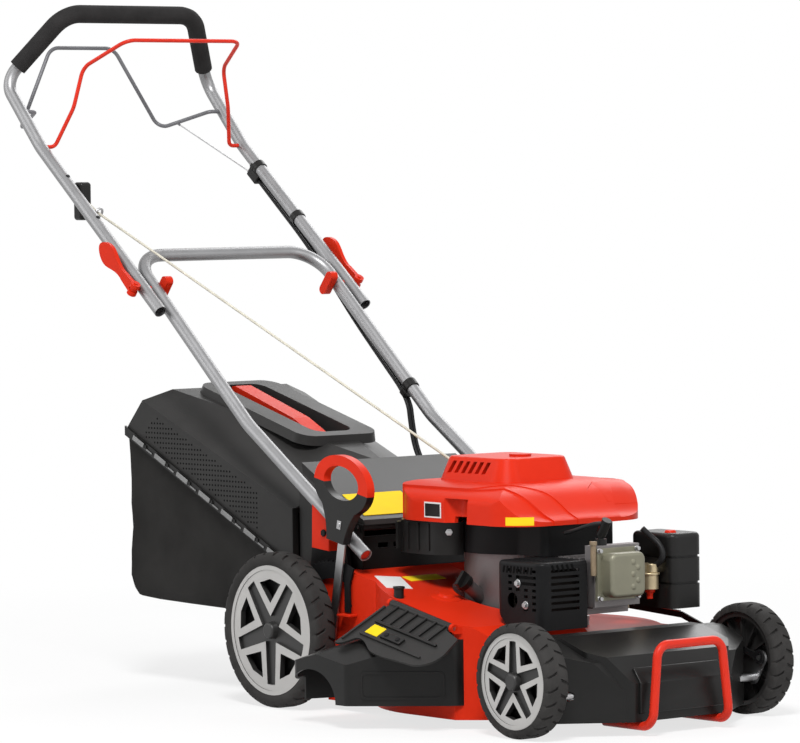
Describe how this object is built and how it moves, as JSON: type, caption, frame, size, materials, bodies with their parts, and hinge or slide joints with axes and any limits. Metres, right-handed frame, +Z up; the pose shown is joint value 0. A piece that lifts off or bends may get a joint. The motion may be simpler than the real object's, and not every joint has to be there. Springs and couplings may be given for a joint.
{
  "type": "petrol walk-behind lawn mower",
  "caption": "Petrol rotary lawn mower with folding handle, engine-stop and drive bails, height lever, side discharge flap and rear grass bag.",
  "frame": {"origin": "on the ground, midway between the axles, in the mower's middle plane", "axes": "+X forwards, +Y to the operator's left, +Z up"},
  "size_m": [1.6211, 0.6362, 1.172],
  "materials": {
    "deck_paint": "gloss orange-red enamel",
    "red_plastic": "gloss",
    "black_plastic": "fine grain",
    "grey_plastic": "fine grain",
    "rim_plastic": "silver raised ring and frames, charcoal star and back",
    "tyre_rubber": "matt",
    "tube_steel": "satin plated",
    "dark_steel": "satin black",
    "bare_steel": "ground",
    "cast_alloy": "cast",
    "pressed_alloy": "satin",
    "carb_metal": "satin",
    "silencer_steel": "heat stained",
    "foam": "soft foam",
    "cloth": "woven",
    "red_wire": "plastic coated",
    "grey_wire": "plastic coated",
    "sheath": "satin",
    "rope": "braided"
  },
  "bodies": {
    "chassis": {"deck_shell": "deck_paint", "front_cover": "black_plastic", "front_bumper": "red_wire", "deck_rear_cover": "black_plastic", "side_chute": "black_plastic", "handle_brackets": "dark_steel", "handle_clamps": "red_plastic", "lower_handle": "tube_steel", "clamp_screws": "red_plastic", "height_quadrant": "dark_steel", "hinge_rods": "bare_steel", "engine_block": "cast_alloy", "blower_housing": "dark_steel", "engine_cover": "red_plastic", "fuel_tank": "black_plastic", "fuel_cap": "black_plastic", "oil_cap": "black_plastic", "muffler": "silencer_steel", "muffler_guard": "dark_steel", "valve_cover": "pressed_alloy", "spark_plug": "black_plastic", "carburettor": "carb_metal", "air_filter": "black_plastic", "starter_rope": "rope", "control_cables": "sheath"},
    "cutter": {"crankshaft": "bare_steel", "blade_adapter": "bare_steel", "blade": "dark_steel", "blade_bolt": "bare_steel"},
    "side_flap": {"side_flap": "grey_plastic"},
    "rear_flap": {"rear_flap": "grey_plastic"},
    "grass_bag": {"bag_lid": "grey_plastic", "bag_sack": "cloth", "bag_frame": "black_plastic", "bag_handle": "red_plastic"},
    "rear_axle": {"rear_axle": "bare_steel", "drive_gearbox": "black_plastic", "lever_strip": "bare_steel", "lever_grip": "black_plastic", "lever_loop": "red_plastic"},
    "front_axle": {"front_axle": "bare_steel"},
    "height_link": {"height_link": "dark_steel"},
    "wheel_rear_right": {"tyre_rear_right": "tyre_rubber", "rim_rear_right": "rim_plastic"},
    "wheel_rear_left": {"tyre_rear_left": "tyre_rubber", "rim_rear_left": "rim_plastic"},
    "wheel_front_right": {"tyre_front_right": "tyre_rubber", "rim_front_right": "rim_plastic"},
    "wheel_front_left": {"tyre_front_left": "tyre_rubber", "rim_front_left": "rim_plastic"},
    "upper_handle": {"upper_handle": "tube_steel", "foam_grip": "foam", "rope_guide": "bare_steel", "cable_clips": "black_plastic", "drive_wire": "bare_steel"},
    "cam_right": {"cam_right": "red_plastic"},
    "cam_left": {"cam_left": "red_plastic"},
    "red_bail": {"red_bail": "red_wire"},
    "grey_bail": {"grey_bail": "grey_wire"},
    "starter_grip": {"starter_grip": "black_plastic"}
  },
  "joints": [
    {"name": "blade_spin", "type": "hinge", "parent": "chassis", "child": "cutter", "pos_m": [0.025, 0, 0.034], "axis": [0, 0, 1], "continuous": true},
    {"name": "side_flap_lift", "type": "hinge", "parent": "chassis", "child": "side_flap", "pos_m": [0.15, -0.244, 0.159], "axis": [-0.9817, 0, 0.1902], "range_deg": [0, 60]},
    {"name": "rear_flap_lift", "type": "hinge", "parent": "chassis", "child": "rear_flap", "pos_m": [-0.182, 0, 0.297], "axis": [0, 1, 0], "range_deg": [0, 26]},
    {"name": "bag_withdraw", "type": "slide", "parent": "chassis", "child": "grass_bag", "axis": [-1, 0, 0], "range_m": [0, 0.35]},
    {"name": "height_lever", "type": "hinge", "parent": "chassis", "child": "rear_axle", "pos_m": [-0.206, 0, 0.102], "axis": [0, -1, 0], "range_deg": [0, 29.2]},
    {"name": "front_height", "type": "hinge", "parent": "chassis", "child": "front_axle", "pos_m": [0.345, 0, 0.064], "axis": [0, -1, 0], "range_deg": [0, 60.39]},
    {"name": "link_pivot", "type": "hinge", "parent": "rear_axle", "child": "height_link", "pos_m": [-0.1874, 0.203, 0.17362], "axis": [0, -1, 0], "range_deg": [-29.2, 0]},
    {"name": "rear_right_roll", "type": "hinge", "parent": "rear_axle", "child": "wheel_rear_right", "pos_m": [-0.302, -0.242, 0.127], "axis": [0, 1, 0], "continuous": true},
    {"name": "rear_left_roll", "type": "hinge", "parent": "rear_axle", "child": "wheel_rear_left", "pos_m": [-0.302, 0.242, 0.127], "axis": [0, 1, 0], "continuous": true},
    {"name": "front_right_roll", "type": "hinge", "parent": "front_axle", "child": "wheel_front_right", "pos_m": [0.302, -0.236, 0.089], "axis": [0, 1, 0], "continuous": true},
    {"name": "front_left_roll", "type": "hinge", "parent": "front_axle", "child": "wheel_front_left", "pos_m": [0.302, 0.236, 0.089], "axis": [0, 1, 0], "continuous": true},
    {"name": "handle_fold", "type": "hinge", "parent": "chassis", "child": "upper_handle", "pos_m": [-0.698, 0, 0.6787], "axis": [0, 1, 0], "range_deg": [0, 125], "deforming": ["starter_rope", "control_cables"]},
    {"name": "cam_right_turn", "type": "hinge", "parent": "chassis", "child": "cam_right", "pos_m": [-0.698, -0.241, 0.6787], "axis": [0.6274, 0, 0.7787], "range_deg": [0, 100]},
    {"name": "cam_left_turn", "type": "hinge", "parent": "chassis", "child": "cam_left", "pos_m": [-0.698, 0.241, 0.6787], "axis": [-0.6274, 0, -0.7787], "range_deg": [0, 100]},
    {"name": "red_bail_squeeze", "type": "hinge", "parent": "upper_handle", "child": "red_bail", "pos_m": [-1, 0, 0.922], "axis": [0, -1, 0], "range_deg": [0, 38], "stiffness_Nm_per_rad": 0.5},
    {"name": "grey_bail_squeeze", "type": "hinge", "parent": "upper_handle", "child": "grey_bail", "pos_m": [-1.058, 0, 0.9843], "axis": [0, 1, 0], "range_deg": [0, 46], "stiffness_Nm_per_rad": 0.5, "deforming": ["drive_wire"]},
    {"name": "starter_pull", "type": "slide", "parent": "upper_handle", "child": "starter_grip", "axis": [-0.8479, 0.3491, 0.399], "range_m": [0, 0.35], "deforming": ["starter_rope"]}
  ],
  "couplings": [
    {"joint": "front_height", "follows": "height_lever", "ratio": 2.068},
    {"joint": "link_pivot", "follows": "height_lever", "ratio": -1}
  ]
}
